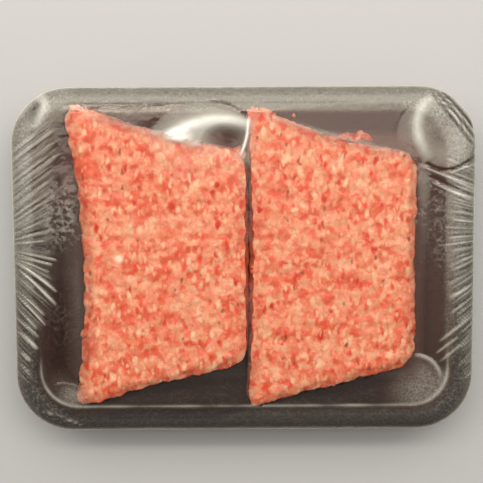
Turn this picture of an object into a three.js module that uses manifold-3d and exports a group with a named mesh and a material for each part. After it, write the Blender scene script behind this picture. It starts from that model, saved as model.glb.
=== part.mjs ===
// Overwrapped meat tray pack: a black foam tray, two slabs of minced sausage meat side by side
// in it, and a clear stretch film pulled over the rim and tucked under the base.
// Millimetres, +Z up, the long side along X, the origin at the middle of the underside.
import * as THREE from "three";
import { ConvexGeometry } from "three/addons/geometries/ConvexGeometry.js";
import { mergeVertices } from "three/addons/utils/BufferGeometryUtils.js";
import Module from "manifold-3d";

const wasm = await Module();
wasm.setup();

// Clearances
const GAP = 0.35; // between pieces that touch
const FILM = 0.4; // film wall, which stands for the film and its gathered folds

// Foam tray: stock 178 by 133 mm size, with a rolled lip
const RIM_LENGTH = 178;
const RIM_WIDTH = 133;
const RIM_CORNER = 22;
const CORNER_TIGHTENING = 0.75; // how much the corner radius shrinks for each mm inwards
const TRAY_HEIGHT = 24.5;
const FLOOR = 3; // foam thickness of the floor
const LIP_CREST = 5.4; // from the outer edge in to the highest line of the lip
const LIP_ROLL = 4.6; // how far the lip rolls down to its outer edge
const LIP_ROUND = 2.4; // rounding from the crest into the inner wall
const WALL_RUN = 7.4; // how far the inner wall leans in on its way down
const FLOOR_FILLET = 3.4;
const HEEL = 2; // rounding of the base's outer edge
const PANEL_INSET = 31; // sunk panel in the underside
const PANEL_RISE = 0.8;
const CORNER_STEPS = 8;

// Slabs of minced meat: four corners as [x, y, rounding] from the near left one round, and how
// far each side bows out from the straight line to the next corner
const LEFT_SLAB = {
  name: "slab_left",
  corners: [[-64.8, -57.4, 5], [0.4, -39.8, 8], [0.4, 41.4, 7], [-68, 61, 7]],
  bows: [-1.2, -0.3, -1.6, -4.9],
  seed: 3,
};
const RIGHT_SLAB = {
  name: "slab_right",
  corners: [[2, -57.2, 4], [65.9, -40.6, 9], [66.3, 40, 7], [2.2, 60.4, 4]],
  bows: [-0.4, -0.4, -2.9, -2],
  seed: 8,
};
const SLAB_TOP = 26.2; // the film presses the meat level, a little over the lip
const SLAB_CORES = 4.4; // size of one grain of the mince
const TOP_RELIEF = 0.9; // depth of the seams between grains on the cut face
const SIDE_RELIEF = 1.6; // and down the torn sides, half of it outside the outline
const EDGE_ROUND = 4.2;
const EDGE_DROP = 2.2;
const TOP_STEP = 2.3; // grid of the cut face
const RING_POINTS = 112; // round a slab's outline
const SIDE_RINGS = 7;

// Film
const WINDOW_LENGTH = 62; // bare foam left between the tucked edges under the base
const WINDOW_WIDTH = 30;
const WINDOW_CORNER = 9;

const BASE_Z = FILM + GAP; // the tray stands on the film's tucked edges
const LIP_EDGE_Z = TRAY_HEIGHT - LIP_ROLL;

const trayFoam = new THREE.MeshStandardMaterial({ color: 0x1b1a19, roughness: 0.55, metalness: 0 });
const rawMince = new THREE.MeshStandardMaterial({ color: 0xe88a74, roughness: 0.4, metalness: 0 });
const clearFilm = new THREE.MeshStandardMaterial({
  color: 0xf0f1ee,
  roughness: 0.08,
  metalness: 0,
  transparent: true,
  opacity: 0.25,
});

// Points on a quarter-like curve from start, for profiles
function curve(steps, place) {
  return Array.from({ length: steps + 1 }, (_, i) => place((i / steps) * (Math.PI / 2)));
}

// The lip's top and the inner wall as [inset from the outer edge, height], from the outer edge
// over the crest and down to the floor
function innerProfile() {
  const roll = curve(6, (t) => [
    LIP_CREST * (1 - Math.cos(t)),
    LIP_EDGE_Z + LIP_ROLL * Math.sin(t),
  ]);
  const shoulder = curve(3, (t) => [
    LIP_CREST + LIP_ROUND * Math.sin(t * 0.85),
    TRAY_HEIGHT - LIP_ROUND * (1 - Math.cos(t * 0.85)),
  ]).slice(1);
  const [shoulderInset] = shoulder.at(-1);
  const footInset = shoulderInset + WALL_RUN;
  const fillet = curve(4, (t) => [
    footInset + FLOOR_FILLET * (1 - Math.cos(t)),
    FLOOR + FLOOR_FILLET * (1 - Math.sin(t)),
  ]);
  return [...roll, ...shoulder, ...fillet];
}

// The underside and the outer wall, from the sunk panel out and up to the lip's outer edge
function outerProfile() {
  const floorInset = innerProfile().at(-1)[0];
  const heelInset = floorInset - FLOOR_FILLET - FLOOR * 0.55;
  const heel = curve(3, (t) => [
    heelInset + HEEL * (1 - Math.sin(t)),
    HEEL * (1 - Math.cos(t)),
  ]);
  return [
    [PANEL_INSET, PANEL_RISE],
    [PANEL_INSET - 1.6, 0],
    ...heel,
    [LIP_CREST, TRAY_HEIGHT - FLOOR - 0.6],
    [LIP_CREST - 1.4, TRAY_HEIGHT - FLOOR - 0.4],
    [1.4, LIP_EDGE_Z - 1],
    [0.4, LIP_EDGE_Z - 0.9],
  ];
}

// Moves each point of an open profile by a distance along its normal, towards larger insets
// and larger heights for the inner side
function offsetProfile(points, distance) {
  return points.map(([inset, z], i) => {
    const [i0, z0] = points[Math.max(i - 1, 0)];
    const [i1, z1] = points[Math.min(i + 1, points.length - 1)];
    const along = new THREE.Vector2(i1 - i0, z1 - z0).normalize();
    return [inset - along.y * distance, z + along.x * distance];
  });
}

// One level ring: a rectangle with round corners, a given inset inside the rim's outline
function ring(inset, z) {
  const radius = Math.max(RIM_CORNER - Math.max(inset, 0) * CORNER_TIGHTENING - Math.min(inset, 0), 3);
  const x = RIM_LENGTH / 2 - inset - radius;
  const y = RIM_WIDTH / 2 - inset - radius;
  const centres = [[x, y], [-x, y], [-x, -y], [x, -y]];
  return centres.flatMap(([cx, cy], corner) =>
    Array.from({ length: CORNER_STEPS + 1 }, (_, i) => {
      const angle = (corner + i / CORNER_STEPS) * (Math.PI / 2);
      return new THREE.Vector3(cx + radius * Math.cos(angle), cy + radius * Math.sin(angle), z);
    }),
  );
}

// Closed body from rings of equal length, capped by a fan at each end
function loft(rings) {
  const count = rings[0].length;
  const points = rings.flat();
  const faces = [];
  for (let r = 0; r + 1 < rings.length; r++) {
    for (let i = 0; i < count; i++) {
      const a = r * count + i;
      const b = r * count + ((i + 1) % count);
      faces.push(a, b, b + count, a, b + count, a + count);
    }
  }
  const cap = (start, turned) => {
    const middle = new THREE.Vector3();
    for (let i = 0; i < count; i++) middle.addScaledVector(points[start + i], 1 / count);
    const centre = points.push(middle) - 1;
    for (let i = 0; i < count; i++) {
      const a = start + i;
      const b = start + ((i + 1) % count);
      if (turned) faces.push(centre, b, a);
      else faces.push(centre, a, b);
    }
  };
  cap(0, true);
  cap((rings.length - 1) * count, false);
  const geometry = new THREE.BufferGeometry().setFromPoints(points);
  geometry.setIndex(faces);
  return geometry;
}

function toSolid(geometry) {
  const bare = geometry.clone();
  bare.deleteAttribute("normal");
  bare.deleteAttribute("uv");
  const merged = mergeVertices(bare, 1e-3);
  return new wasm.Manifold(
    new wasm.Mesh({
      numProp: 3,
      vertProperties: merged.attributes.position.array,
      triVerts: new Uint32Array(merged.index.array),
    }),
  );
}

// The largest body of a solid, as geometry: crumbs that a cut leaves are dropped
function toGeometry(solid) {
  const largest = solid.decompose().sort((a, b) => b.volume() - a.volume())[0];
  const mesh = largest.getMesh();
  const geometry = new THREE.BufferGeometry();
  geometry.setAttribute("position", new THREE.BufferAttribute(mesh.vertProperties, 3));
  geometry.setIndex(new THREE.BufferAttribute(mesh.triVerts, 1));
  geometry.computeVertexNormals();
  return geometry;
}

function namedMesh(name, geometry, material) {
  const mesh = new THREE.Mesh(geometry, material);
  mesh.name = name;
  return mesh;
}

function makeTray() {
  const profile = [...outerProfile(), ...innerProfile()];
  const tray = namedMesh("tray", loft(profile.map(([inset, z]) => ring(inset, z))), trayFoam);
  tray.position.z = BASE_Z;
  return tray;
}

// The room inside the tray, a gap clear of its wall and open upwards
function cavity() {
  const wall = offsetProfile(innerProfile(), GAP)
    .slice(6)
    .map(([inset, z]) => [inset, z + BASE_Z])
    .reverse();
  const [, crestZ] = wall.at(-1);
  wall.push([LIP_CREST - 2, crestZ], [LIP_CREST - 2, crestZ + 6]);
  return toSolid(loft(wall.map(([inset, z]) => ring(inset, z))));
}

// A repeatable number from 0 to 1 for each cell and seed
function chance(i, j, seed) {
  const wave = Math.sin(i * 127.1 + j * 311.7 + seed * 74.7) * 43758.5453;
  return wave - Math.floor(wave);
}

// Rounded grains packed side by side: 1 on top of a grain, down to 0 in the seams between them
function grain(x, y, seed) {
  const u = x / SLAB_CORES;
  const v = y / SLAB_CORES;
  let nearest = Infinity;
  for (let i = Math.floor(u) - 1; i <= Math.floor(u) + 1; i++) {
    for (let j = Math.floor(v) - 1; j <= Math.floor(v) + 1; j++) {
      const du = i + 0.15 + 0.7 * chance(i, j, seed) - u;
      const dv = j + 0.15 + 0.7 * chance(j, i, seed + 5) - v;
      nearest = Math.min(nearest, du * du + dv * dv);
    }
  }
  return Math.max(0, 1 - nearest * 1.6);
}

// A slab's outline: four bowed sides with round corners
function slabOutline({ corners, bows }) {
  const at = (i) => new THREE.Vector2(corners[i % 4][0], corners[i % 4][1]);
  const cut = (i, j) => at(i).addScaledVector(at(j).sub(at(i)).normalize(), corners[i % 4][2]);
  const shape = new THREE.Shape();
  const start = cut(0, 1);
  shape.moveTo(start.x, start.y);
  for (let i = 0; i < 4; i++) {
    const from = cut(i, i + 1);
    const to = cut(i + 1, i);
    const outwards = new THREE.Vector2(to.y - from.y, from.x - to.x).normalize();
    const pull = from.clone().add(to).multiplyScalar(0.5).addScaledVector(outwards, 2 * bows[i]);
    const corner = at(i + 1);
    const leave = cut(i + 1, i + 2);
    shape.quadraticCurveTo(pull.x, pull.y, to.x, to.y);
    shape.quadraticCurveTo(corner.x, corner.y, leave.x, leave.y);
  }
  return shape.getSpacedPoints(RING_POINTS).slice(0, RING_POINTS);
}

// The outline moved out by a distance that may differ from point to point, at one height
function grownRing(outline, z, distance) {
  const count = outline.length;
  return outline.map((p, i) => {
    const before = outline[(i + count - 1) % count];
    const after = outline[(i + 1) % count];
    const outwards = new THREE.Vector2(after.y - before.y, before.x - after.x).normalize();
    const moved = p.clone().addScaledVector(outwards, distance(i));
    return new THREE.Vector3(moved.x, moved.y, z);
  });
}

// Sides of the slab, dented between the grains
function slabSides(slab, outline, bottom) {
  const stepAlong = 3.1;
  const rings = Array.from({ length: SIDE_RINGS }, (_, k) => {
    const z = bottom + ((SLAB_TOP + 2 - bottom) * k) / (SIDE_RINGS - 1);
    return grownRing(outline, z, (i) => SIDE_RELIEF * (grain(i * stepAlong, z, slab.seed) - 0.5));
  });
  return toSolid(loft(rings));
}

// A block whose upper face is the slab's bumpy cut face, rounded down towards the outline
function cutFace(slab, outline, bottom) {
  const margin = 4;
  const box = new THREE.Box2().setFromPoints(outline).expandByScalar(margin);
  const size = box.getSize(new THREE.Vector2());
  const face = new THREE.BoxGeometry(
    size.x,
    size.y,
    SLAB_TOP - bottom,
    Math.round(size.x / TOP_STEP),
    Math.round(size.y / TOP_STEP),
    1,
  );
  const centre = box.getCenter(new THREE.Vector2());
  face.translate(centre.x, centre.y, (SLAB_TOP + bottom) / 2);
  const position = face.attributes.position;
  for (let i = 0; i < position.count; i++) {
    if (position.getZ(i) < (SLAB_TOP + bottom) / 2) continue;
    const p = new THREE.Vector2(position.getX(i), position.getY(i));
    const toEdge = Math.min(...outline.map((q) => q.distanceTo(p)));
    const drop = EDGE_DROP * Math.max(0, 1 - toEdge / EDGE_ROUND) ** 2;
    position.setZ(i, SLAB_TOP - TOP_RELIEF * (1 - grain(p.x, p.y, slab.seed)) - drop);
  }
  return toSolid(face);
}

function makeSlab(slab, room) {
  const bottom = BASE_Z + FLOOR + GAP;
  const outline = slabOutline(slab);
  const solid = slabSides(slab, outline, bottom)
    .intersect(cutFace(slab, outline, bottom - 1))
    .intersect(room);
  return namedMesh(slab.name, toGeometry(solid), rawMince);
}

// The taut outer form of the wrap at some clearance from tray and meat: it spans from the
// slabs' edges down to the lip, round it, and in to the base's edge
function wrapHull(clearance) {
  const lip = offsetProfile(innerProfile().slice(0, 8), clearance);
  const heel = outerProfile().slice(1, 6);
  const points = [
    ...lip.flatMap(([inset, z]) => ring(inset, z + BASE_Z)),
    ...ring(-clearance, BASE_Z + LIP_EDGE_Z - 1.2),
    ...heel.flatMap(([inset, z]) => ring(inset - clearance, BASE_Z + z - clearance)),
  ];
  for (const slab of [LEFT_SLAB, RIGHT_SLAB]) {
    const outline = slabOutline(slab);
    points.push(
      ...grownRing(outline, SLAB_TOP + clearance, () => -EDGE_ROUND * 0.6),
      ...grownRing(outline, SLAB_TOP - EDGE_DROP + clearance, () => clearance),
    );
  }
  return toSolid(new ConvexGeometry(points));
}

// The opening that the tucked edges leave in the middle of the underside
function underWindow() {
  const x = WINDOW_LENGTH / 2;
  const y = WINDOW_WIDTH / 2;
  const shape = new THREE.Shape();
  shape.absarc(x - WINDOW_CORNER, y - WINDOW_CORNER, WINDOW_CORNER, 0, Math.PI / 2);
  shape.absarc(WINDOW_CORNER - x, y - WINDOW_CORNER, WINDOW_CORNER, Math.PI / 2, Math.PI);
  shape.absarc(WINDOW_CORNER - x, WINDOW_CORNER - y, WINDOW_CORNER, Math.PI, 1.5 * Math.PI);
  shape.absarc(x - WINDOW_CORNER, WINDOW_CORNER - y, WINDOW_CORNER, 1.5 * Math.PI, 2 * Math.PI);
  const depth = 2 * BASE_Z;
  const plug = new THREE.ExtrudeGeometry(shape, { depth, bevelEnabled: false, curveSegments: 6 });
  plug.translate(0, 0, -BASE_Z);
  return toSolid(plug);
}

function makeFilm() {
  const shell = wrapHull(GAP + FILM).subtract(wrapHull(GAP)).subtract(underWindow());
  return namedMesh("film", toGeometry(shell), clearFilm);
}

const pack = new THREE.Group();
const room = cavity();
pack.add(makeTray(), makeSlab(LEFT_SLAB, room), makeSlab(RIGHT_SLAB, room), makeFilm());

export default pack;
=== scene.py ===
import math
import random

import bmesh
import bpy
import numpy as np
from mathutils import Matrix, Vector, noise
from mathutils.bvhtree import BVHTree


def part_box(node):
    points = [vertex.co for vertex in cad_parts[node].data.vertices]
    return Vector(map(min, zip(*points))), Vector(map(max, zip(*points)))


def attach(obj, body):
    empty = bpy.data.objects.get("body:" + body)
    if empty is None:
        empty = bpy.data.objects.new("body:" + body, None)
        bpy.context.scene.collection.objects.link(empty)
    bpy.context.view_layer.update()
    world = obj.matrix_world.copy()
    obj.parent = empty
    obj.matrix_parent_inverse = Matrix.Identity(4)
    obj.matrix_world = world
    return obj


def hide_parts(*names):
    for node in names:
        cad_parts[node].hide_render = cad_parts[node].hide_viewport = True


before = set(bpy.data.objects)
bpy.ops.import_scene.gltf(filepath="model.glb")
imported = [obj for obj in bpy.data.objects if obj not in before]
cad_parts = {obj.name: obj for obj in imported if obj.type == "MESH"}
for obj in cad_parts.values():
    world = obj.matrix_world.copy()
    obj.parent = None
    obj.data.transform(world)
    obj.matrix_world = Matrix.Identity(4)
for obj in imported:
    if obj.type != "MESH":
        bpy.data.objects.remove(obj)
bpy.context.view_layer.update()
mm = 0.001

# Camera: the pack stood upright in the photo and lies on its back here, so the camera looks
# almost straight down on it, leaning a little towards the slabs' upper edges.
camera_lean = math.radians(5)
camera_roll = math.radians(-0.3)
camera_distance = 377.5 * mm
view_middle = (-0.7, 7.6)
camera_target = Vector((*view_middle, 24)) * mm
camera_data = bpy.data.cameras.new("camera")
camera_data.lens = 73
camera_data.sensor_width = 36
camera_data.clip_start = 0.01
camera = bpy.data.objects.new("camera", camera_data)
camera_back = Vector((0, math.sin(camera_lean), math.cos(camera_lean)))
camera.location = camera_target + camera_distance * camera_back
camera.rotation_euler = (-camera_lean, 0, camera_roll)
bpy.context.collection.objects.link(camera)
bpy.context.scene.camera = camera

# Tray: one sheet of black foamed polystyrene, pressed in a heated mould. Its walls lean out to
# a lip that is rolled over and left hollow below, and its skin shows the foam's fine beads.
rim_length = 178 * mm
rim_width = 133 * mm
rim_corner = 22 * mm
smallest_corner = 3 * mm
corner_tightening = 0.75
tray_low, tray_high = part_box("tray")
foam = 3 * mm
lip_crest = 5.4 * mm
lip_roll = 4.6 * mm
lip_round = 2.4 * mm
lip_round_share = 0.85
wall_run = 7.4 * mm
floor_fillet = 3.4 * mm
heel_radius = 2 * mm
points_round_tray = 288


def rim_place(share, inset, height):
    """A point at some share of the way round the rim's outline, moved in and up."""
    radius = rim_corner - max(inset, 0) * corner_tightening - min(inset, 0)
    radius = max(radius, smallest_corner)
    straight_x = rim_length / 2 - inset - radius
    straight_y = rim_width / 2 - inset - radius
    # the shares follow the outer outline, so that the points of all rings line up
    outer_x = rim_length / 2 - rim_corner
    outer_y = rim_width / 2 - rim_corner
    arc = rim_corner * math.pi / 2
    way = share * (4 * outer_x + 4 * outer_y + 4 * arc)
    for turn, (half, reach) in enumerate([(outer_y, straight_y), (outer_x, straight_x)] * 2):
        across = (straight_x if turn % 2 == 0 else straight_y) + radius
        if way <= 2 * half:
            along, out = (way / half - 1) * reach, across
            break
        way -= 2 * half
        if way <= arc:
            angle = way / arc * math.pi / 2
            along = reach + radius * math.sin(angle)
            out = across - radius + radius * math.cos(angle)
            break
        way -= arc
    x, y = [(out, along), (-along, out), (-out, -along), (along, -out)][turn]
    return Vector((x, y, height))


def crowded(share, crowding):
    """The same share of the way round, with the points crowded towards the two short sides."""
    outline = 2 * rim_length + 2 * rim_width - (8 - math.tau) * rim_corner
    middle_of_side = (rim_width / 2 - rim_corner) / outline
    return share - crowding * math.sin(4 * math.pi * (share - middle_of_side)) / (4 * math.pi)


def loft_rings(bm, count, profile, crowding=0.0):
    """Extrudes one closed ring along a profile of (inset, height); gives the rings' corners."""
    ring = bmesh.ops.create_circle(bm, cap_ends=False, radius=1, segments=count)["verts"]
    bm.verts.ensure_lookup_table()
    rings = [list(ring)]
    edges = list({edge for vert in ring for edge in vert.link_edges})
    for _ in profile[1:]:
        out = bmesh.ops.extrude_edge_only(bm, edges=edges)["geom"]
        grown = {v for v in out if isinstance(v, bmesh.types.BMVert)}
        step = []
        for vert in rings[-1]:
            beside = (edge.other_vert(vert) for edge in vert.link_edges)
            step.append(next(other for other in beside if other in grown))
        rings.append(step)
        edges = [e for e in out if isinstance(e, bmesh.types.BMEdge)]
        edges = [e for e in edges if e.verts[0] in grown and e.verts[1] in grown]
    shares = [crowded(i / count, crowding) % 1 for i in range(count)]
    for step, (inset, height) in zip(rings, profile):
        for share, vert in zip(shares, step):
            vert.co = rim_place(share, inset, height)
    return rings


def quarter(steps, place):
    """The places that a function gives for even steps of a quarter turn."""
    return [place(i / steps * math.pi / 2) for i in range(steps + 1)]


lip_edge_height = tray_high.z - lip_roll
floor_height = tray_low.z + foam
inner_profile = quarter(
    10, lambda t: (lip_crest * (1 - math.cos(t)), lip_edge_height + lip_roll * math.sin(t))
)
inner_profile += quarter(
    6,
    lambda t: (
        lip_crest + lip_round * math.sin(t * lip_round_share),
        tray_high.z - lip_round * (1 - math.cos(t * lip_round_share)),
    ),
)[1:]
wall_foot = inner_profile[-1][0] + wall_run
inner_profile += quarter(
    8,
    lambda t: (
        wall_foot + floor_fillet * (1 - math.cos(t)),
        floor_height + floor_fillet * (1 - math.sin(t)),
    ),
)
heel_inset = wall_foot - foam * 0.55
outer_profile = [(31 * mm, tray_low.z + 0.8 * mm), (29.4 * mm, tray_low.z)]
outer_profile += quarter(
    6,
    lambda t: (
        heel_inset + heel_radius * (1 - math.sin(t)),
        tray_low.z + heel_radius * (1 - math.cos(t)),
    ),
)
outer_profile += [
    (lip_crest, tray_high.z - foam - 0.6 * mm),
    (lip_crest - 1.4 * mm, tray_high.z - foam - 0.4 * mm),
    (1.4 * mm, lip_edge_height - 1 * mm),
    (0.4 * mm, lip_edge_height - 0.9 * mm),
]


def finished(name, bm, material):
    """Makes the piece's object from its bmesh, rides it on the pack and gives it its material."""
    mesh = bpy.data.meshes.new(name)
    bm.to_mesh(mesh)
    bm.free()
    mesh.materials.append(material)
    mesh.shade_smooth()
    piece = bpy.data.objects.new(name, mesh)
    bpy.context.collection.objects.link(piece)
    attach(piece, "root")
    return piece


def set_marks(mesh, marks):
    """Stores one value for each corner of the mesh under each name, for its material to read."""
    for name, values in marks.items():
        attribute = mesh.attributes.new(name, "FLOAT", "POINT")
        attribute.data.foreach_set("value", values.astype(np.float32))


def new_material(name):
    """A new material, with its nodes and their Principled shader."""
    material = bpy.data.materials.new(name)
    material.use_nodes = True
    tree = material.node_tree
    return material, tree, tree.nodes["Principled BSDF"]


def add(tree, kind, links=None, **settings):
    """Adds a node, sets its settings, and gives its inputs values or links."""
    node = tree.nodes.new(kind)
    for key, value in settings.items():
        setattr(node, key, value)
    for socket, value in (links or {}).items():
        if isinstance(value, bpy.types.NodeSocket):
            tree.links.new(value, node.inputs[socket])
        else:
            node.inputs[socket].default_value = value
    return node


def mark(tree, name):
    """The values that a mesh holds under a name."""
    return add(tree, "ShaderNodeAttribute", attribute_name=name).outputs["Fac"]


def maths(tree, operation, *values, clamp=False):
    """The outcome of a sum with one, two or three values."""
    inputs = dict(enumerate(values))
    return add(tree, "ShaderNodeMath", inputs, operation=operation, use_clamp=clamp).outputs[0]


def cloudy(tree, position, scale, detail):
    """A cloudy pattern of numbers about 0.5."""
    inputs = {"Vector": position, "Scale": scale, "Detail": detail}
    return add(tree, "ShaderNodeTexNoise", inputs).outputs["Fac"]


def cell_random(tree, cells, channel=0):
    """A random number for each cell of a pattern."""
    return add(tree, "ShaderNodeSeparateColor", {0: cells.outputs["Color"]}).outputs[channel]


def ramp(tree, value, stops, interpolation="LINEAR"):
    """A colour ramp over value, from a list of (position, colour or grey)."""
    node = add(tree, "ShaderNodeValToRGB", {0: value})
    node.color_ramp.interpolation = interpolation
    elements = node.color_ramp.elements
    while len(elements) < len(stops):
        elements.new(0.5)
    for element, (position, colour) in zip(elements, stops):
        element.position = position
        grey = isinstance(colour, (int, float))
        element.color = (colour, colour, colour, 1) if grey else (*colour, 1)
    return node.outputs["Color"]


def mixed(tree, factor, first, second, blend="MIX"):
    """A mix of two colours."""
    colours = {"Factor": factor, "A": first, "B": second}
    node = add(tree, "ShaderNodeMix", colours, data_type="RGBA", blend_type=blend)
    return node.outputs["Result"]


foam_material, tree, shader = new_material("black_foam")
place = add(tree, "ShaderNodeTexCoord").outputs["Object"]
juice_and_meat_reflection_colour = (0.17, 0.072, 0.053, 1)
beads = add(tree, "ShaderNodeTexVoronoi", {"Vector": place, "Scale": 900.0, "Randomness": 1.0})
pores = cloudy(tree, place, 2400.0, 2.0)
mottle = cloudy(tree, place, 90.0, 3.0)
bead_shade = cell_random(tree, beads)
bead_tone = ramp(
    tree,
    bead_shade,
    [(0.0, (0.013, 0.0105, 0.009)), (0.6, (0.026, 0.021, 0.017)), (1.0, (0.07, 0.058, 0.048))],
)
mottle_tone = ramp(tree, mottle, [(0.3, 0.75), (0.7, 1.2)])
foam_colour = mixed(tree, 1.0, bead_tone, mottle_tone, "MULTIPLY")
# the foam takes a reddish colour, partly a real juice stain and partly a painted reflection of the
# meat
foam_colour = mixed(tree, mark(tree, "juice_and_meat_reflection"), foam_colour, juice_and_meat_reflection_colour)
tree.links.new(foam_colour, shader.inputs["Base Color"])
bead_gloss = ramp(tree, bead_shade, [(0.0, 0.45), (1.0, 0.7)])
tree.links.new(bead_gloss, shader.inputs["Roughness"])
shader.inputs["Specular IOR Level"].default_value = 0.3
bead_height = maths(tree, "SUBTRACT", beads.outputs["Distance"], pores)
bead_relief = {"Strength": 0.5, "Distance": 0.2 * mm, "Height": bead_height}
bead_bump = add(tree, "ShaderNodeBump", bead_relief)
tree.links.new(bead_bump.outputs["Normal"], shader.inputs["Normal"])

bm = bmesh.new()
tray_rings = loft_rings(bm, points_round_tray, outer_profile + inner_profile)
bmesh.ops.contextual_create(bm, geom=tray_rings[0])
bmesh.ops.contextual_create(bm, geom=tray_rings[-1])
bmesh.ops.recalc_face_normals(bm, faces=bm.faces)
bm.verts.index_update()

# the meat's juice wets the floor and most of the wall, and its reddish colour doubles as a painted
# reflection of the meat: fully beyond the slabs' upper edges and beside their short ends, and only
# thinly elsewhere
wet_rings = 15
dry_rings = 3
juice_and_meat_reflection = np.zeros(len(bm.verts))
for k, ring in enumerate(tray_rings[-wet_rings:]):
    for vert in ring:
        x, y = vert.co.x / mm, vert.co.y / mm
        share = 0.2 + 0.8 * np.clip((y - 15) / 20, 0, 1)
        share += 0.8 * np.clip((x - 50) / 25, 0, 1)
        share += 0.2 * np.clip((-x - 40) / 25, 0, 1)
        juice_and_meat_reflection[vert.index] = min(1, max(k - dry_rings, 0) / 3) * min(1, share)
tray = finished("foam_tray", bm, foam_material)
set_marks(tray.data, {"juice_and_meat_reflection": juice_and_meat_reflection})
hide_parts("tray")

# Slabs: coarsely minced sausage meat, pressed into a block and sliced, so the broad face is a
# flat mosaic of lean and fat pieces and the sides are torn along the pieces.
grain_size = 4.2 * mm
grain_wander = 2.4 * mm
voxel = 0.6 * mm
face_relief = 0.32 * mm
side_relief = 1.1 * mm
gap_middle = 1.4 * mm
torn_edge_level = 26.1 * mm


def vector_maths(tree, operation, first, second):
    """The outcome of a sum with two vectors, or with a vector and the number that scales it."""
    inputs = {0: first, "Scale" if operation == "SCALE" else 1: second}
    return add(tree, "ShaderNodeVectorMath", inputs, operation=operation).outputs[0]


def wandering(tree, position, scale, reach):
    """The position pushed about by a soft noise, so that cell borders come out organic."""
    drift = add(tree, "ShaderNodeTexNoise", {"Vector": position, "Scale": scale, "Detail": 2.0})
    centred = vector_maths(tree, "SUBTRACT", drift.outputs["Color"], (0.5, 0.5, 0.5))
    pushed = vector_maths(tree, "SCALE", centred, reach)
    return vector_maths(tree, "ADD", position, pushed)


def cell_pattern(tree, position, size, feature="F1"):
    """A pattern of irregular cells of about some size."""
    inputs = {"Vector": position, "Scale": 1 / size, "Randomness": 1.0}
    return add(tree, "ShaderNodeTexVoronoi", inputs, feature=feature)


def faded(tree, value, start, stop, low, high, ends="SMOOTHSTEP"):
    """Low up to the start and high beyond the stop, with soft ends unless told otherwise."""
    limits = {"Value": value, "From Min": start, "From Max": stop, "To Min": low, "To Max": high}
    return add(tree, "ShaderNodeMapRange", limits, interpolation_type=ends).outputs[0]


relief = bpy.data.node_groups.new("mince_relief", "GeometryNodeTree")
relief.interface.new_socket("Geometry", in_out="INPUT", socket_type="NodeSocketGeometry")
relief.interface.new_socket("Geometry", in_out="OUTPUT", socket_type="NodeSocketGeometry")
relief_in = relief.nodes.new("NodeGroupInput")
relief_out = relief.nodes.new("NodeGroupOutput")
here = add(relief, "GeometryNodeInputPosition").outputs[0]
facing = add(relief, "GeometryNodeInputNormal").outputs[0]
spot = add(relief, "ShaderNodeSeparateXYZ", {0: here})

# each piece of mince bulges, a little on the broad face and more on the torn sides
grain = cell_pattern(relief, wandering(relief, here, 300.0, grain_wander), grain_size)
squared = maths(relief, "POWER", grain.outputs["Distance"], 2.0)
rough = maths(relief, "MULTIPLY_ADD", cloudy(relief, here, 520.0, 2.0), 1.6, -0.55)
bulge = maths(relief, "SUBTRACT", rough, squared)
upness = add(relief, "ShaderNodeSeparateXYZ", {0: facing}).outputs["Z"]
depth = faded(relief, upness, 0.2, 0.9, side_relief, face_relief, "LINEAR")

# beside the gap between the slabs the pieces are calmer, and the sides swell out low down
from_gap = maths(relief, "SUBTRACT", spot.outputs["X"], gap_middle)
from_gap = maths(relief, "ABSOLUTE", from_gap)
along_gap = maths(relief, "ABSOLUTE", spot.outputs["Y"])
calm = faded(relief, from_gap, 2.2 * mm, 5 * mm, 0.4, 1.0)
bumps = maths(relief, "MULTIPLY", bulge, depth)
bumps = maths(relief, "MULTIPLY", bumps, calm)
low_down = faded(relief, spot.outputs["Z"], 16.5 * mm, 21.5 * mm, 1.0, 0.0)
beside_gap = faded(relief, from_gap, 2.5 * mm, 5 * mm, 1.0, 0.0)
swelling = maths(relief, "MULTIPLY", beside_gap, low_down)
most = faded(relief, along_gap, 5 * mm, 45 * mm, 1.5 * mm, 0.8 * mm)
amount = maths(relief, "MULTIPLY_ADD", swelling, most, bumps)
shift = vector_maths(relief, "SCALE", facing, amount)

# where the slabs were pulled apart their upper edges are sharp, so these are lifted level
below_level = maths(relief, "SUBTRACT", torn_edge_level, spot.outputs["Z"])
near_gap = faded(relief, from_gap, 3.5 * mm, 7 * mm, 0.85, 0.0)
high_up = faded(relief, spot.outputs["Z"], 22.6 * mm, 23.8 * mm, 0.0, 1.0)
lift = maths(relief, "MULTIPLY", near_gap, high_up)
lift = maths(relief, "MULTIPLY", lift, below_level)
upwards = add(relief, "ShaderNodeCombineXYZ", {"Z": lift}).outputs[0]
shift = vector_maths(relief, "ADD", shift, upwards)
moves = {"Geometry": relief_in.outputs[0], "Offset": shift}
moved = add(relief, "GeometryNodeSetPosition", moves)
relief.links.new(moved.outputs[0], relief_out.inputs[0])

mince_material, tree, shader = new_material("raw_mince")
place = add(tree, "ShaderNodeTexCoord").outputs["Object"]


def elsewhere(tree, position, offset):
    """The same position moved well away, so that a second pattern doesn't repeat the first."""
    return vector_maths(tree, "ADD", position, offset)


def picked_bits(tree, position, size, wander, share, spread, turn, doubt=0.07):
    """Long soft-edged bits, turned one way: 1 on a bit and 0 off it, for a share of the cells."""
    stretch = {"Vector": position, "Rotation": (0, 0, math.radians(turn)), "Scale": (1.0, 0.6, 0.8)}
    longer = add(tree, "ShaderNodeMapping", stretch).outputs[0]
    cells = cell_pattern(tree, wandering(tree, longer, 0.8 / size, wander), size)
    chosen = cell_random(tree, cells, 1)
    on = ramp(tree, chosen, [(1 - share - doubt, 0.0), (1 - share + doubt, 1.0)])
    blob = ramp(tree, cells.outputs["Distance"], [(spread - 0.2, 1.0), (spread + 0.16, 0.0)])
    return maths(tree, "MULTIPLY", on, blob)


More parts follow.
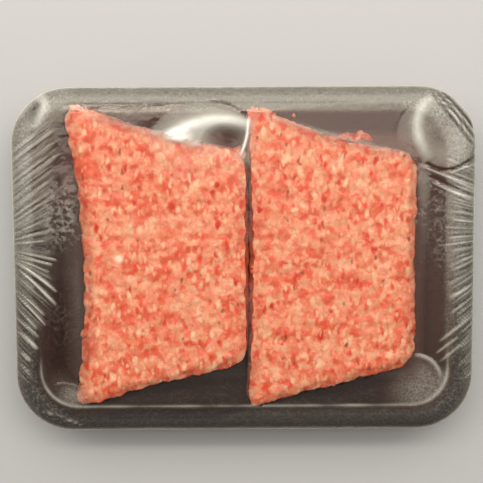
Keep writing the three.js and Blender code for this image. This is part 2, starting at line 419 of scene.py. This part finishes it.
soft_cells = cell_pattern(tree, wandering(tree, place, 300.0, 3.0 * mm), 2.7 * mm, "SMOOTH_F1")
soft_cells.inputs["Smoothness"].default_value = 0.5
fatness = maths(tree, "ADD", cell_random(tree, soft_cells), mark(tree, "fatter"))
tone = ramp(
    tree,
    fatness,
    [
        (0.15, (0.71, 0.12, 0.056)),
        (0.35, (0.76, 0.19, 0.1)),
        (0.5, (0.78, 0.24, 0.134)),
        (0.7, (0.8, 0.285, 0.16)),
        (0.88, (0.8, 0.34, 0.205)),
    ],
)
crisp_place = elsewhere(tree, place, (0.071, 0.013, 0.037))
crisp_cells = cell_pattern(tree, wandering(tree, crisp_place, 420.0, 1.6 * mm), 1.9 * mm)
crisp_tone = ramp(
    tree,
    cell_random(tree, crisp_cells, 2),
    [
        (0.05, (0.98, 0.74, 0.7)),
        (0.35, (0.99, 0.92, 0.9)),
        (0.65, (1, 1.02, 1.0)),
        (0.95, (1.02, 1.22, 1.2)),
    ],
)
tone = mixed(tree, 1.0, tone, crisp_tone, "MULTIPLY")
tan_part = ramp(tree, cloudy(tree, place, 260.0, 2.0), [(0.5, 0.0), (0.66, 0.6)])
tone = mixed(tree, tan_part, tone, (0.76, 0.36, 0.185, 1))

# the bits that lie in this ground: where their pattern is taken, size and wander in
# millimetres, share of the cells, spread, turn, doubt, strength and colour
for offset, size, wander, share, spread, turn, doubt, strength, colour in (
    ((0.031, 0.017, 0.043), 2.5, 2.8, 0.17, 0.42, 40, 0.07, 1.0, (0.71, 0.075, 0.032, 1)),
    ((0.011, 0.047, 0.023), 2.5, 3.0, 0.11, 0.44, -60, 0.07, 1.0, (0.57, 0.03, 0.012, 1)),
    ((0.053, 0.029, 0.037), 1.7, 1.9, 0.2, 0.42, 70, 0.07, 1.0, (0.8, 0.4, 0.22, 1)),
    ((0, 0, 0), 2.4, 2.7, 0.19, 0.44, -25, 0.07, 1.0, (0.82, 0.48, 0.28, 1)),
    # the last bits are dark brown specks of painted shade in small hollows
    ((0.023, 0.059, 0.013), 1.5, 1.8, 0.022, 0.42, 15, 0.01, 0.85, (0.2, 0.06, 0.025, 1)),
):
    away = elsewhere(tree, place, offset)
    bits = picked_bits(tree, away, size * mm, wander * mm, share, spread, turn, doubt)
    tone = mixed(tree, maths(tree, "MULTIPLY", bits, strength), tone, colour)

# painted shade: faint dark red crevices between the pieces, with gaps in them
crevice_place = wandering(tree, place, 380.0, 2.2 * mm)
crevices = cell_pattern(tree, crevice_place, 2.3 * mm, "DISTANCE_TO_EDGE")
crevice_shade_line = ramp(tree, crevices.outputs["Distance"], [(0.0, 0.4), (0.2, 0.0)])
crevice_gaps = ramp(tree, cloudy(tree, place, 340.0, 1.0), [(0.46, 0.0), (0.6, 1.0)])
crevice_shade = maths(tree, "MULTIPLY", crevice_shade_line, crevice_gaps)
tone = mixed(tree, crevice_shade, tone, (0.6, 0.11, 0.05, 1))
tone = mixed(tree, mark(tree, "white_fat"), tone, (0.88, 0.62, 0.47, 1))
fine_noise = {"Vector": place, "Scale": 650.0, "Detail": 4.0, "Roughness": 0.7}
speckle = add(tree, "ShaderNodeTexNoise", fine_noise).outputs["Fac"]
tone = mixed(tree, 1.0, tone, ramp(tree, speckle, [(0.3, 0.88), (0.7, 1.08)]), "MULTIPLY")
tree.links.new(tone, shader.inputs["Base Color"])
wet = ramp(tree, speckle, [(0.3, 0.36), (0.7, 0.55)])
tree.links.new(wet, shader.inputs["Roughness"])
shader.inputs["Specular IOR Level"].default_value = 0.3
shader.inputs["Subsurface Weight"].default_value = 0.12
shader.inputs["Subsurface Radius"].default_value = (1.0, 0.35, 0.2)
shader.inputs["Subsurface Scale"].default_value = 0.001
mince_relief = {"Strength": 0.25, "Distance": 0.3 * mm, "Height": speckle}
mince_bump = add(tree, "ShaderNodeBump", mince_relief)
tree.links.new(mince_bump.outputs["Normal"], shader.inputs["Normal"])

pixel_size = 0.386
photo_middle = 241.5


def photo_place(x, y):
    """Millimetres on the pack's top, for a pixel of the photograph."""
    return (
        view_middle[0] + (x - photo_middle) * pixel_size,
        view_middle[1] + (photo_middle - y) * pixel_size,
    )


# the pixels about which the photograph shows more lean, or more fat, than elsewhere
lean_areas = ((228, 309), (93, 376), (383, 330), (85, 167), (330, 332), (163, 272), (169, 200))
lean_areas += ((117, 302), (113, 386), (139, 361), (329, 290), (146, 205))
fat_areas = ((297, 156), (320, 145), (212, 161), (371, 164), (268, 371), (407, 166), (395, 220))
fat_areas += ((166, 154), (384, 276), (90, 293), (400, 249), (127, 224), (183, 301))
white_fat_areas = ((119, 258),)


def area_marks(mesh, areas, reach):
    """1 in the middle of each area of a slab's face, falling to 0 around it."""
    flat = np.array([v.co[:2] for v in mesh.vertices]) / mm
    marks = np.zeros(len(flat))
    for area in areas:
        marks += np.exp(-(((flat - photo_place(*area)) / reach) ** 2).sum(axis=1))
    return marks


for side in ("left", "right"):
    node_name = "slab_" + side
    bm = bmesh.new()
    bm.from_mesh(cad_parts[node_name].data)
    bmesh.ops.remove_doubles(bm, verts=bm.verts, dist=0.01 * mm)
    slab = finished("mince_" + side, bm, mince_material)
    remesh = slab.modifiers.new("even faces", "REMESH")
    remesh.mode = "VOXEL"
    remesh.voxel_size = voxel
    remesh.use_smooth_shade = True
    soften = slab.modifiers.new("soften", "SMOOTH")
    soften.iterations = 1
    pieces = slab.modifiers.new("pieces", "NODES")
    pieces.node_group = relief
    evaluated = slab.evaluated_get(bpy.context.evaluated_depsgraph_get())
    slab_mesh = bpy.data.meshes.new_from_object(evaluated)
    slab.modifiers.clear()
    slab.data = slab_mesh
    slab_mesh.shade_smooth()
    fatter = 0.4 * area_marks(slab_mesh, fat_areas, 4.2)
    fatter -= 0.5 * area_marks(slab_mesh, lean_areas, 3.8)
    white_fat = np.clip(2 * area_marks(slab_mesh, white_fat_areas, 1.6) - 0.4, 0, 1)
    set_marks(slab_mesh, {"fatter": fatter, "white_fat": white_fat})
    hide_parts(node_name)

# Scraps: shreds of mince that stick out of the slabs' torn edges, and one crumb of it that is
# caught under the film. Each is a pinched lump, sunk into the edge that it hangs on.
rng = random.Random(11)
bm = bmesh.new()


def shred(middle, size):
    """One lump of mince, flattened, turned and pinched at random."""
    lump = bmesh.ops.create_icosphere(bm, subdivisions=2, radius=size)["verts"]
    squeeze = Vector((rng.uniform(0.7, 1.5), rng.uniform(0.6, 1.0), rng.uniform(0.55, 0.8)))
    bmesh.ops.scale(bm, vec=squeeze, verts=lump)
    angle = rng.uniform(0, math.tau)
    axis = (rng.uniform(-0.4, 0.4), rng.uniform(-0.4, 0.4), 1)
    bmesh.ops.rotate(bm, cent=(0, 0, 0), matrix=Matrix.Rotation(angle, 3, axis), verts=lump)
    phase = Vector([rng.uniform(0, 50) for _ in range(3)])
    for vert in lump:
        vert.co *= 1 + 0.45 * noise.noise(vert.co / size * 0.9 + phase)
    bmesh.ops.translate(bm, vec=middle, verts=lump)


torn_low, torn_high = 12 * mm, 23 * mm
scraps_per_slab = 45
for side, middle_x in (("left", -32 * mm), ("right", 34 * mm)):
    places = [v.co.copy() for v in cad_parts["slab_" + side].data.vertices]
    torn_places = [edge_place for edge_place in places if torn_low < edge_place.z < torn_high]
    for edge_place in rng.sample(torn_places, scraps_per_slab):
        inwards = (Vector((middle_x, 0, edge_place.z)) - edge_place).normalized()
        size = rng.uniform(0.8, 1.5) * mm
        shred(edge_place + inwards * size * 0.75, size)

# the scraps that the photograph shows one by one, and the crumb: pixel, height and size
top_edge = 24.4
by_right_slab = ((341, 139, 1.7), (346, 137, 1.7), (353, 139, 2.1), (359, 136, 2.1), (364, 138, 1.9))
by_left_slab = ((79, 109, 2.0), (84, 112, 1.6), (82, 333, 2.3), (83, 398, 1.6))
by_the_gap = ((251.5, 267, 0.9), (252, 272, 1.1), (254, 113, 1.4), (241, 155, 2.3), (237, 153, 2.0))
shown_scraps = [(x, y, top_edge, size) for x, y, size in by_right_slab + by_left_slab + by_the_gap]
crumb = (293, 117, 25.2, 1.0)
for x, y, height, size in (*shown_scraps, crumb):
    shred(Vector((*photo_place(x, y), height)) * mm, size * mm)
scraps = finished("mince_scraps", bm, mince_material)

# Film: clear stretch film, pulled taut over the rim and the meat and tucked under the base,
# where its gathered edges leave a bare window. It puckers at the rim's two short sides.
film_stand = 0.45 * mm
film_sink = 0.25 * mm
tuck_height = 0.2 * mm
wall_steps = 3
close_step = 0.6 * mm
close_rings = 36
wide_step = 5.2 * mm
wide_rings = 6
points_round_film = 1500
film_crowding = 0.4
film_heel = heel_radius + film_stand
film_profile = [(58 * mm, 0.25 * mm), (36 * mm, tuck_height), (20 * mm, tuck_height)]
film_profile += quarter(
    4,
    lambda t: (
        heel_inset - film_stand + film_heel * (1 - math.sin(t)),
        tuck_height + film_heel * (1 - math.cos(t)),
    ),
)
wall_bottom = np.array(film_profile[-1])
wall_top = np.array((-film_stand, lip_edge_height - 1.2 * mm))
for step in range(1, wall_steps + 1):
    film_profile.append(tuple(wall_bottom + (wall_top - wall_bottom) * step / wall_steps))
film_profile += quarter(
    10,
    lambda t: (
        lip_crest - (lip_crest + film_stand) * math.cos(t),
        lip_edge_height + (lip_roll + film_stand) * math.sin(t),
    ),
)
span_start = len(film_profile)
for step in range(1, close_rings + 1):
    film_profile.append((lip_crest + close_step * step, tray_high.z))
for step in range(1, wide_rings + 1):
    film_profile.append((lip_crest + close_step * close_rings + wide_step * step, tray_high.z))

bm = bmesh.new()
film_rings = loft_rings(bm, points_round_film, film_profile, film_crowding)
bmesh.ops.contextual_create(bm, geom=film_rings[-1])
bmesh.ops.recalc_face_normals(bm, faces=bm.faces)


def solid_tree(node_name):
    """A search tree over one of the solids' faces."""
    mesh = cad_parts[node_name].data
    places = [v.co.copy() for v in mesh.vertices]
    return BVHTree.FromPolygons(places, [tuple(p.vertices) for p in mesh.polygons])


# the span lies on the solid film, and clings to the meat where that comes close below it
down = Vector((0, 0, -1))
well_above = 100 * mm
cling_reach = 1.6 * mm
taut = solid_tree("film")
for ring in film_rings[span_start:]:
    for vert in ring:
        above = Vector((vert.co.x, vert.co.y, well_above))
        vert.co.z = taut.ray_cast(above, down)[0].z - film_sink
bm.verts.index_update()
bm.verts.ensure_lookup_table()
bm.normal_update()
insets = np.zeros(len(bm.verts))
for ring, (inset, height) in zip(film_rings, film_profile):
    insets[[v.index for v in ring]] = inset / mm
meat = [solid_tree("slab_left"), solid_tree("slab_right")]
clinging = np.zeros(len(bm.verts))
for ring in film_rings[span_start + 4 :]:
    for vert in ring:
        gaps = [slab_tree.ray_cast(vert.co, down)[3] for slab_tree in meat]
        gap = min([g for g in gaps if g is not None], default=1)
        clinging[vert.index] = np.clip(1.6 - gap / cling_reach, 0, 1)

# from here the film is worked out in millimetres, with one value for each of its corners:
# how far it is raised, how hazy it is, how bright a highlight is painted on it, and how far its
# mirroring is muted
corners = np.array([v.co for v in bm.verts]) / mm
normals = np.array([v.normal for v in bm.verts])
rise = np.zeros(len(corners))
haze = np.zeros(len(corners))
painted_highlight = np.zeros(len(corners))
quiet = clinging.copy()
on_top = corners[:, 2] > 18


def eased(values, start, stop):
    """0 at start, 1 at stop and beyond it, with soft ends."""
    share = np.clip((values - start) / (stop - start), 0, 1)
    return share * share * (3 - 2 * share)


# where the film lies on the foam of the lip, its contact shows as a pale bloom; as painted sheen of
# the light, it is made thick at the upper edge of the pack and almost gone at the lower one
towards_light = eased(corners[:, 1], -45, 40)
towards_left = eased(-corners[:, 0], 55, 78)
bloom_reach = 5.5 + 3.5 * eased(corners[:, 0], -15, 5) + 2.5 * eased(np.abs(corners[:, 0]), 66, 76)
bloom = eased(bloom_reach - insets, -1.2, 1.2)
haze += bloom * (0.045 + 0.095 * towards_light) * (1 - 0.2 * towards_left) * on_top
haze += 0.08 * eased(20 - insets, 0, 9) * eased(-corners[:, 0], 60, 72) * towards_light * on_top
# painted highlight: a thin bright line along the lip's inner edge on the lower half of the pack
lip_highlight_line = np.exp(-(((insets - 10.2) / 0.55) ** 2)) * eased(-corners[:, 1], 30, 50) * on_top
uneven = np.array([noise.noise(Vector(c) * 0.11) for c in corners])
painted_highlight += (0.2 + 0.16 * uneven) * lip_highlight_line
rise += 0.12 * lip_highlight_line

# puckers: the film gathers at both short sides into ridges that fan out from the rim, with painted
# highlights along the ridges and painted shade in the valleys beside them
rng = random.Random(7)
pull_line = np.zeros(len(corners))
pull_reach = np.zeros(len(corners))


def fan_slope(at, base, swing, centre, spread):
    """How far a pucker that meets the rim there runs along the rim for each step inwards."""
    return base + swing * np.tanh((at - centre) / spread)


def fan_length(at, side):
    """How far inwards the puckers reach, longer on the left than on the right."""
    on_left = side < 0
    return 9 + 4 * on_left + (3 + 2 * on_left) * np.tanh((at + 14) / 12)


for side, centre, base, swing, spread, low, high, count in (
    (-1, 5, -0.15, 0.85, 7, -42, 44, 42),
    (1, 6, -0.22, 0.62, 14, -44, 36, 40),
):
    inwards = rim_length / mm / 2 - corners[:, 0] * side
    near_side = on_top * (corners[:, 0] * side > 60)
    # the line of pull through each corner meets the rim at its origin
    origin = corners[:, 1].copy()
    for _ in range(25):
        slope = fan_slope(origin, base, swing, centre, spread)
        origin = 0.5 * origin + 0.5 * (corners[:, 1] - slope * inwards)
    inside_fan = eased(origin, low - 3, low + 3) * eased(-origin, -high - 3, -high + 3)
    within_reach = eased(fan_length(origin, side) - inwards, 0, 5) * eased(inwards, 0, 1.5)
    pull_line += origin * near_side
    pull_reach += near_side * inside_fan * within_reach
    for k in range(count):
        at = low + (high - low) * (k + rng.uniform(-0.35, 0.35)) / count
        slope = fan_slope(at, base, swing, centre, spread)
        length = fan_length(at, side) * rng.uniform(0.55, 1.1)
        # low down on the left the puckers are few and long, and are placed one by one below
        faint = min(max((8 - at) / 10, 0), 1) * (side < 0)
        strength = 0.14 - 0.11 * faint
        width = rng.uniform(0.38, 0.6) * np.clip(0.5 + 0.6 * inwards / length, 0.4, 1)
        off_line = (corners[:, 1] - at - slope * inwards) / math.hypot(1, slope)
        along = np.clip(inwards / 2, 0, 1) * np.clip((length - inwards) / 2.5, 0, 1)
        pucker = np.exp(-((off_line / width) ** 2)) * along * near_side
        rise += rng.uniform(0.12, 0.36) * (1 - 0.75 * faint) * pucker
        painted_highlight += pucker * rng.uniform(0.3, 1.4) * strength
        valley_shade = np.exp(-(((off_line - 1.0) / 0.6) ** 2)) * along * near_side
        haze -= 0.06 * valley_shade
        quiet += 0.45 * (1 - faint) * valley_shade


# the folds, pockets and dents that come from handling follow lines through the photograph's
# pixels, and are given as a line, a width and a height in millimetres, and a painted light: a
# painted highlight where it is above 0 and painted shade where it is below
def nearness(points):
    """How far each corner lies from a smooth line through some pixels, and where along it."""
    line = [np.array(photo_place(*points[0]))]
    for start, middle, stop in zip(points[::2], points[1::2], points[2::2]):
        start, middle, stop = (np.array(photo_place(*p)) for p in (start, middle, stop))
        for t in np.linspace(0, 1, 13)[1:]:
            line.append((1 - t) ** 2 * start + 2 * t * (1 - t) * middle + t * t * stop)
    near = np.full(len(corners), 1e9)
    share = np.zeros(len(corners))
    for k, (start, stop) in enumerate(zip(line, line[1:])):
        run = stop - start
        along = np.clip(((corners[:, :2] - start) @ run) / (run @ run), 0, 1)
        gap = np.hypot(*(corners[:, :2] - start - along[:, None] * run).T)
        closer = gap < near
        near[closer] = gap[closer]
        share[closer] = (k + along[closer]) / (len(line) - 1)
    return near, share


def crease(points, width, height, painted_light, swell=0.0):
    """A fold along a line of pixels, raised or sunk, with a painted highlight or painted shade,
    fading at both ends.
    """
    global rise, haze, painted_highlight, quiet
    near, share = nearness(points)
    width = width * (1 + swell * (share - 0.6))
    fade = np.clip(5 * share * (1 - share), 0, 1) ** 0.6
    fold = np.exp(-((near / width) ** 2)) * fade * on_top
    rise += height * fold
    if painted_light > 0:
        painted_highlight += painted_light * fold
    else:
        haze += painted_light * fold
        painted_highlight += 2 * painted_light * fold
        quiet -= 4 * painted_light * fold


def patch(middle, reach, softness=1.5):
    """1 at a pixel on the film, falling to 0 at the edge of an oval of some millimetres round it."""
    middle_x, middle_y = photo_place(*middle)
    off_x = (corners[:, 0] - middle_x) / reach[0]
    off_y = (corners[:, 1] - middle_y) / reach[1]
    return np.clip(1 - off_x**2 - off_y**2, 0, 1) ** softness * on_top


# pocket of air above the left slab's slope, with a dent in it; painted highlights lie over the
# pocket, its ridge and a glare on it, and are taken away in the dent
pocket = (204, 142)
pocket_ridge = ((166, 142), (202, 111), (256, 126))
pocket_glare = (179, 136)
dent, dent_shade, dent_veil = (224, 142), (226, 143), (227, 144)
pocket_folds = (
    (((206, 101), (234, 102), (250, 119)), 0.8, 0, -0.16),
    (((249, 117), (249, 138), (240, 157)), 0.5, 0.4, 0.8),
    (((128, 118), (140, 110), (153, 100)), 0.35, 0.1, 0.12),
)
painted_highlight += 0.3 * patch(pocket, (20.5, 15.0), 0.4)
crease(pocket_ridge, 2.2, 0.3, 0.42)
painted_highlight += 0.42 * patch(pocket_glare, (7, 4))
rise -= 0.3 * patch(dent, (10, 6.5))
painted_highlight *= 1 - 0.97 * patch(dent_shade, (10, 7.6), 0.7)
quiet += 0.6 * patch(dent_veil, (11, 8.5), 0.5)
for points, width, height, painted_light in pocket_folds:
    crease(points, width, height, painted_light)

# pocket over the upper right corner, with folds that run from it; a faint painted highlight lies
# over the pocket, with less of it in its dent
corner_pocket, corner_veil = (441, 133), (443, 133)
corner_dent, corner_dent_veil = (437, 130), (438, 130)
beside_pocket = (408, 124)
below_pocket = (422, 185)
rim_folds_start, rim_folds_turn, rim_folds_stop = (429, 96), (450, 121), (470, 146)
crest_aside = (2.6, -1.7)
corner_folds = (
    (((431, 96), (398, 124), (428, 162)), 2.2, 0.45, 0.27),
    (((407, 109), (391, 121), (391, 144)), 0.5, -0.1, -0.08),
    (((423, 163), (444, 182), (474, 156)), 0.55, -0.4, -0.2),
    (((418, 167), (446, 178), (474, 192)), 0.5, 0.35, 0.25),
    (((427, 177), (442, 184), (458, 191)), 0.5, -0.35, -0.15),
    (((431, 184), (448, 192), (474, 204)), 0.5, 0.3, 0.25),
    (((446, 176), (460, 168), (475, 166)), 0.45, 0.3, 0.2),
)
painted_highlight += 0.1 * patch(corner_pocket, (12.6, 15.4), 0.35)
haze += 0.07 * patch(corner_veil, (12, 15), 0.35)
painted_highlight *= 1 - 0.6 * patch(corner_dent, (6.5, 10), 0.8)
quiet += 0.4 * patch(corner_dent_veil, (8, 11), 0.8)
haze += 0.08 * patch(beside_pocket, (6, 11), 0.7)
haze += 0.08 * patch(below_pocket, (3, 10), 0.6)
for points, width, height, painted_light in corner_folds:
    crease(points, width, height, painted_light)
for k in range(3):
    valley_line = (
        (rim_folds_start[0] + 5 * k, rim_folds_start[1] - k),
        (rim_folds_turn[0] + 5 * k, rim_folds_turn[1] - 4 * k),
        (rim_folds_stop[0] + 2 * k, rim_folds_stop[1] - 6 * k),
    )
    crest_line = [(x + crest_aside[0], y + crest_aside[1]) for x, y in valley_line]
    crease(valley_line, 0.55, -0.4, -0.22)
    crease(crest_line, 0.5, 0.35, 0.22)

# the long puckers low down on the left, bright with painted highlights: both ends, width and
# strength of painted highlight
long_puckers = (
    ((16, 256), (53, 264), 0.28, 0.2),
    ((17, 258), (50, 272), 0.25, 0.18),
    ((17, 260), (57, 291), 0.38, 0.44),
    ((18, 267), (56, 304), 0.4, 0.48),
    ((16, 275), (41, 299), 0.28, 0.1),
    ((15, 288), (44, 315), 0.32, 0.36),
    ((16, 294), (45, 325), 0.34, 0.4),
    ((16, 307), (36, 329), 0.3, 0.26),
    ((15, 317), (38, 337), 0.3, 0.26),
    ((16, 330), (36, 349), 0.48, 0.46),
    ((18, 352), (28, 361), 0.45, 0.32),
    ((18, 363), (27, 375), 0.32, 0.22),
)
for start, stop, width, painted_light in long_puckers:
    middle = (0.5 * (start[0] + stop[0]) + 1, 0.5 * (start[1] + stop[1]) - 1)
    crease((start, middle, stop), width, 0.25, painted_light, swell=1.0)

# smaller folds round the other corners, with painted highlights or painted shade along them
small_folds = (
    (((42, 95), (56, 104), (36, 131)), 1.7, 0.5, 0.24),
    (((30, 124), (34, 112), (42, 103)), 1.0, -0.2, -0.1),
    (((20, 120), (32, 104), (47, 97)), 0.9, 0.35, 0.16),
    (((448, 299), (460, 293), (472, 286)), 0.5, 0.3, 0.2),
    (((438, 343), (455, 331), (472, 317)), 0.38, 0.3, 0.28),
    (((435, 355), (446, 347), (458, 338)), 0.34, 0.3, 0.26),
    (((438, 364), (455, 352), (471, 337)), 0.34, 0.3, 0.22),
    (((412, 356), (436, 357), (441, 380)), 0.7, 0.35, 0.25),
    (((52, 385), (64, 380), (77, 387)), 0.35, 0.2, 0.1),
    (((38, 412), (58, 416), (80, 428)), 0.3, 0.3, 0.24),
)
for points, width, height, painted_light in small_folds:
    crease(points, width, height, painted_light)

# painted sheen: pale veils over the floor, the walls and the gap: middle, reach, softness and
# strength of each
sheen_veils = (
    ((424, 368), (6, 6), 1.5, 0.08),
    ((60, 384), (7, 7), 1.5, 0.06),
    ((421, 215), (3.4, 28), 1.5, 0.045),
    ((440, 260), (9, 46), 0.5, 0.03),
    ((77, 300), (3, 36), 1.5, 0.05),
    ((248.5, 262), (1.7, 46), 0.4, 0.075),
)
for middle, reach, softness, strength in sheen_veils:
    haze += strength * patch(middle, reach, softness)
# painted sheen just inside the lip at both lower corners
lower_right_sheen, lower_left_sheen = (428, 393), (72, 398)
beside_lip = eased(insets, 9, 10.4)
haze += 0.16 * patch(lower_right_sheen, (18, 11), 1.1) * beside_lip
haze += 0.16 * patch(lower_left_sheen, (8, 7)) * beside_lip
# painted light over the shaded top of the upper wall
shaded_upper_wall = (136, 114)
haze += 0.07 * patch(shaded_upper_wall, (19, 2.6), 0.5) * (1 - clinging)
# a painted highlight on the lower left lip
lower_left_lip = (62, 398)
painted_highlight += 0.1 * patch(lower_left_lip, (5, 4.5)) * lip_highlight_line

# over the meat the film lies close, and a painted highlight shows as a thin pale band where it bends
# over the edge
left_slab_edge = ((84, 114), (160, 133), (243, 157))
right_slab_edge = ((264, 116), (330, 138), (410, 157))
rise *= 1 - 0.85 * clinging
painted_highlight *= 1 - 0.85 * clinging
crease(left_slab_edge, 1.1, 0, 0.15)
crease(right_slab_edge, 0.8, 0, 0.19)

# fine nets of wrinkles over the floor, specks on the lip, made stronger towards the light and at the
# lower corners as painted sheen, and the places that mirror little
left_net, right_net, lower_net = (63, 212), (438, 236), (60, 318)
netted = 1.2 * patch(left_net, (8.5, 19)) + 0.5 * patch(right_net, (6, 17))
netted = np.clip(netted + 0.4 * patch(lower_net, (7.5, 17)), 0, 0.85)
lower_left_corner, lower_right_corner = (45, 400), (452, 398)
low_corners = patch(lower_left_corner, (24, 30)) + 0.7 * patch(lower_right_corner, (18, 24))
on_lip = eased(10 - insets, 0, 2) * eased(insets, 0.5, 2) * on_top
resting = (0.15 + 0.4 * towards_light + 0.4 * low_corners) * on_lip
slab_gap, left_floor, upper_left_wall = (248.5, 260), (60, 335), (132, 107)
upper_left_fold = (37, 112)
quiet += 0.8 * patch(slab_gap, (3, 50), 0.3)
quiet += 0.75 * patch(left_floor, (8, 24), 0.5)
quiet += 0.35 * patch(upper_left_wall, (22, 2.2), 0.8)
quiet += 0.6 * patch(upper_left_fold, (3.5, 4.5), 0.7)
quiet = np.clip(quiet, 0, 1)
for vert, moved_to in zip(bm.verts, (corners + normals * rise[:, None]) * mm):
    vert.co = moved_to

film_material, tree, shader = new_material("clear_film")
place = add(tree, "ShaderNodeTexCoord").outputs["Object"]
net_size = 2.3 * mm


def combined(operation, *values):
    """A sum of the film's masks, kept between 0 and 1."""
    return maths(tree, operation, *values, clamp=True)


grit_veil = ramp(tree, cloudy(tree, place, 1250.0, 2.0), [(0.3, 0.5), (0.7, 1.15)])
veil = combined("MULTIPLY", mark(tree, "haze"), grit_veil)
striae = add(
    tree,
    "ShaderNodeTexNoise",
    {"W": mark(tree, "pull_line"), "Scale": 0.9, "Detail": 1.0},
    noise_dimensions="1D",
).outputs["Fac"]
striae_line = ramp(tree, striae, [(0.42, 0.0), (0.68, 0.11)])
striae_on = combined("MULTIPLY", striae_line, mark(tree, "pull_reach"))
net = cell_pattern(tree, wandering(tree, place, 260.0, 2.4 * mm), net_size, "DISTANCE_TO_EDGE")
net_thread = ramp(tree, net.outputs["Distance"], [(0.0, 0.18), (0.4, 0.0)], "EASE")
net_gaps = ramp(tree, cloudy(tree, place, 420.0, 1.0), [(0.38, 0.1), (0.62, 1.0)])
net_on = combined("MULTIPLY", combined("MULTIPLY", net_thread, net_gaps), mark(tree, "netted"))
speck = ramp(tree, cloudy(tree, place, 1100.0, 1.0), [(0.45, 0.0), (0.7, 0.13)])
specks = combined("MULTIPLY", speck, mark(tree, "resting"))
whitened = combined("ADD", combined("ADD", veil, striae_on), combined("ADD", net_on, specks))
# the painted highlights whiten the film's covering
painted_highlight_mark = mark(tree, "painted_highlight")
pale = combined("ADD", whitened, painted_highlight_mark)

ripple = cloudy(tree, place, 90.0, 3.0)
striae_height = combined("MULTIPLY", striae, mark(tree, "pull_reach"))
film_height = combined("MULTIPLY_ADD", striae_height, 0.18, ripple)
film_relief = {"Strength": 0.35, "Distance": 2 * mm, "Height": film_height}
film_normal = add(tree, "ShaderNodeBump", film_relief).outputs["Normal"]
edge_on = add(tree, "ShaderNodeFresnel", {"IOR": 1.5, "Normal": film_normal}).outputs[0]
mirroring = ramp(tree, mark(tree, "quiet"), [(0.0, 2.0), (1.0, 0.1)])
both_faces = combined("MULTIPLY", edge_on, mirroring)
covering = combined("ADD", combined("ADD", both_faces, whitened), painted_highlight_mark)

# where clear, the film's mirror is tinted pinkish brown as a painted reflection of the meat; where
# whitened it turns pale
film_reflection_tint = ramp(
    tree,
    pale,
    [(0.0, (0.92, 0.77, 0.68)), (0.1, (0.88, 0.82, 0.68)), (0.5, (0.96, 0.93, 0.84))],
)
film_gloss = ramp(tree, pale, [(0.02, 0.13), (0.16, 0.45)])
film_shine = ramp(tree, pale, [(0.02, 0.75), (0.14, 0.25)])
tree.links.new(film_reflection_tint, shader.inputs["Base Color"])
tree.links.new(film_gloss, shader.inputs["Roughness"])
tree.links.new(film_shine, shader.inputs["Metallic"])
tree.links.new(film_normal, shader.inputs["Normal"])
clear = add(tree, "ShaderNodeBsdfTransparent", {0: (1, 1, 1, 1)}).outputs[0]
film_look = add(tree, "ShaderNodeMixShader", {0: covering, 1: clear, 2: shader.outputs[0]})
tree.links.new(film_look.outputs[0], tree.nodes["Material Output"].inputs["Surface"])

film = finished("stretch_film", bm, film_material)
set_marks(
    film.data,
    {
        "haze": np.clip(haze, 0, 1),
        "painted_highlight": np.clip(painted_highlight, 0, 0.8),
        "quiet": quiet,
        "resting": resting,
        "netted": netted,
        "pull_line": pull_line,
        "pull_reach": pull_reach,
    },
)
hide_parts("film")

# Studio: a pale floor, one wide soft light that comes from beyond the slabs' upper edges with a
# narrow one inside it, and a dim even sky. None of it belongs to the pack.
bm = bmesh.new()
bmesh.ops.create_grid(bm, x_segments=1, y_segments=1, size=1.5)
floor_material, tree, shader = new_material("pale_floor")
shader.inputs["Base Color"].default_value = (0.52, 0.51, 0.495, 1)
shader.inputs["Roughness"].default_value = 0.7
floor_mesh = bpy.data.meshes.new("studio_floor")
bm.to_mesh(floor_mesh)
bm.free()
floor_mesh.materials.append(floor_material)
studio_floor = bpy.data.objects.new("studio_floor", floor_mesh)
bpy.context.collection.objects.link(studio_floor)

for name, width, depth, light_place, power in (
    ("wide_light", 1.5, 0.9, (0, 0.48, 0.8), 9.2),
    ("strip_light", 1.2, 0.12, (-0.05, 0.4, 0.78), 3.1),
):
    light_data = bpy.data.lights.new(name, "AREA")
    light_data.shape = "RECTANGLE"
    light_data.size = width
    light_data.size_y = depth
    light_data.energy = power
    light_data.color = (1, 0.97, 0.92)
    light = bpy.data.objects.new(name, light_data)
    light.location = light_place
    bpy.context.collection.objects.link(light)

# the sky is brightest beyond the slabs' upper edges, and dimmer at the pack's two short sides
world = bpy.data.worlds.new("world")
world.use_nodes = True
tree = world.node_tree
way = add(tree, "ShaderNodeSeparateXYZ", {0: add(tree, "ShaderNodeTexCoord").outputs["Generated"]})
sideways = maths(tree, "ABSOLUTE", way.outputs["X"])
from_behind = faded(tree, way.outputs["Y"], 0.25, 0.95, 0.15, 1.0)
from_sides = faded(tree, sideways, 0.45, 0.95, 0.0, 0.45)
sky = maths(tree, "ADD", from_behind, from_sides)
background = tree.nodes["Background"]
background.inputs["Color"].default_value = (1, 0.98, 0.95, 1)
tree.links.new(sky, background.inputs["Strength"])
bpy.context.scene.world = world
bpy.context.scene.view_settings.view_transform = "Standard"
